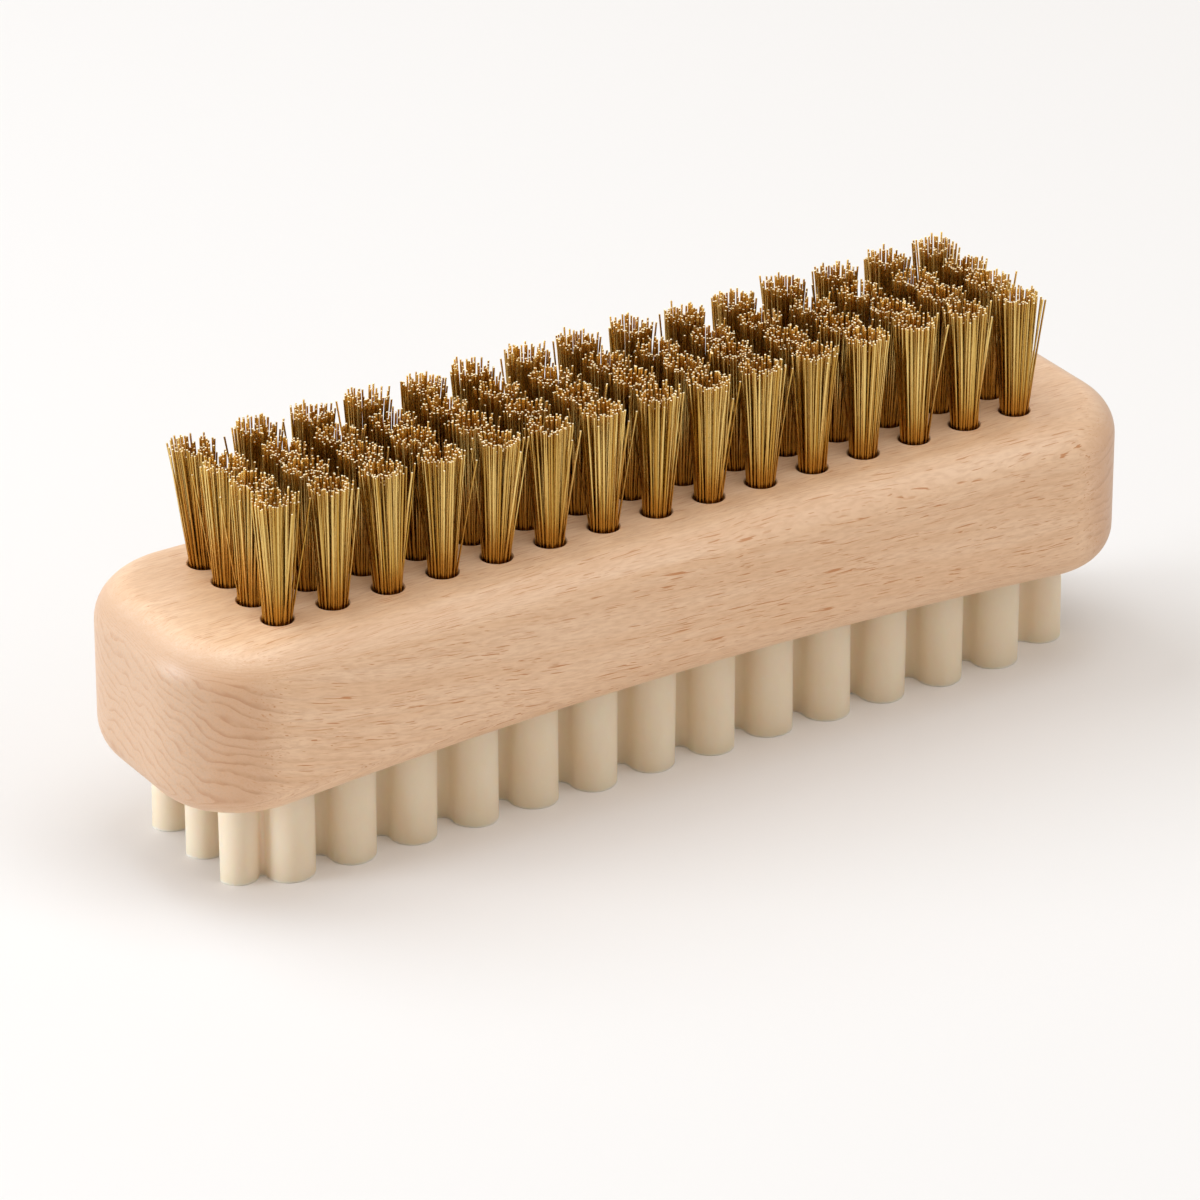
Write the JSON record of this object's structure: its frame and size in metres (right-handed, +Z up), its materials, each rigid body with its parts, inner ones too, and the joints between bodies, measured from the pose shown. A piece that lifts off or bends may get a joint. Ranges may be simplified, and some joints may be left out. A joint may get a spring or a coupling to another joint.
{
  "type": "suede brush",
  "caption": "Hand brush for suede: arched beech block with brass wire tufts on top and corrugated crepe rubber strips set in a recess below.",
  "frame": {"origin": "centre of the footprint, on the plane where the crepe strips stand", "axes": "+X along the block, +Y across it to the back, +Z up through the wire tufts"},
  "size_m": [0.12, 0.0314, 0.0441],
  "materials": {
    "beech": "sanded and lightly waxed",
    "brass_wire": "drawn wire, bright tips",
    "anchor_wire": "galvanised flat wire",
    "crepe": "matt natural crepe"
  },
  "bodies": {
    "root": {"beech_block": "beech", "brass_tufts_01": "brass_wire", "brass_tufts_02": "brass_wire", "brass_tufts_03": "brass_wire", "brass_tufts_04": "brass_wire", "brass_tufts_05": "brass_wire", "brass_tufts_06": "brass_wire", "brass_tufts_07": "brass_wire", "brass_tufts_08": "brass_wire", "brass_tufts_09": "brass_wire", "brass_tufts_10": "brass_wire", "brass_tufts_11": "brass_wire", "brass_tufts_12": "brass_wire", "brass_tufts_13": "brass_wire", "brass_tufts_14": "brass_wire", "brass_tufts_15": "brass_wire", "tuft_anchors_01": "anchor_wire", "tuft_anchors_02": "anchor_wire", "tuft_anchors_03": "anchor_wire", "tuft_anchors_04": "anchor_wire", "tuft_anchors_05": "anchor_wire", "tuft_anchors_06": "anchor_wire", "tuft_anchors_07": "anchor_wire", "tuft_anchors_08": "anchor_wire", "tuft_anchors_09": "anchor_wire", "tuft_anchors_10": "anchor_wire", "tuft_anchors_11": "anchor_wire", "tuft_anchors_12": "anchor_wire", "tuft_anchors_13": "anchor_wire", "tuft_anchors_14": "anchor_wire", "tuft_anchors_15": "anchor_wire", "crepe_strip_front": "crepe", "crepe_strip_middle": "crepe", "crepe_strip_back": "crepe"}
  },
  "joints": []
}
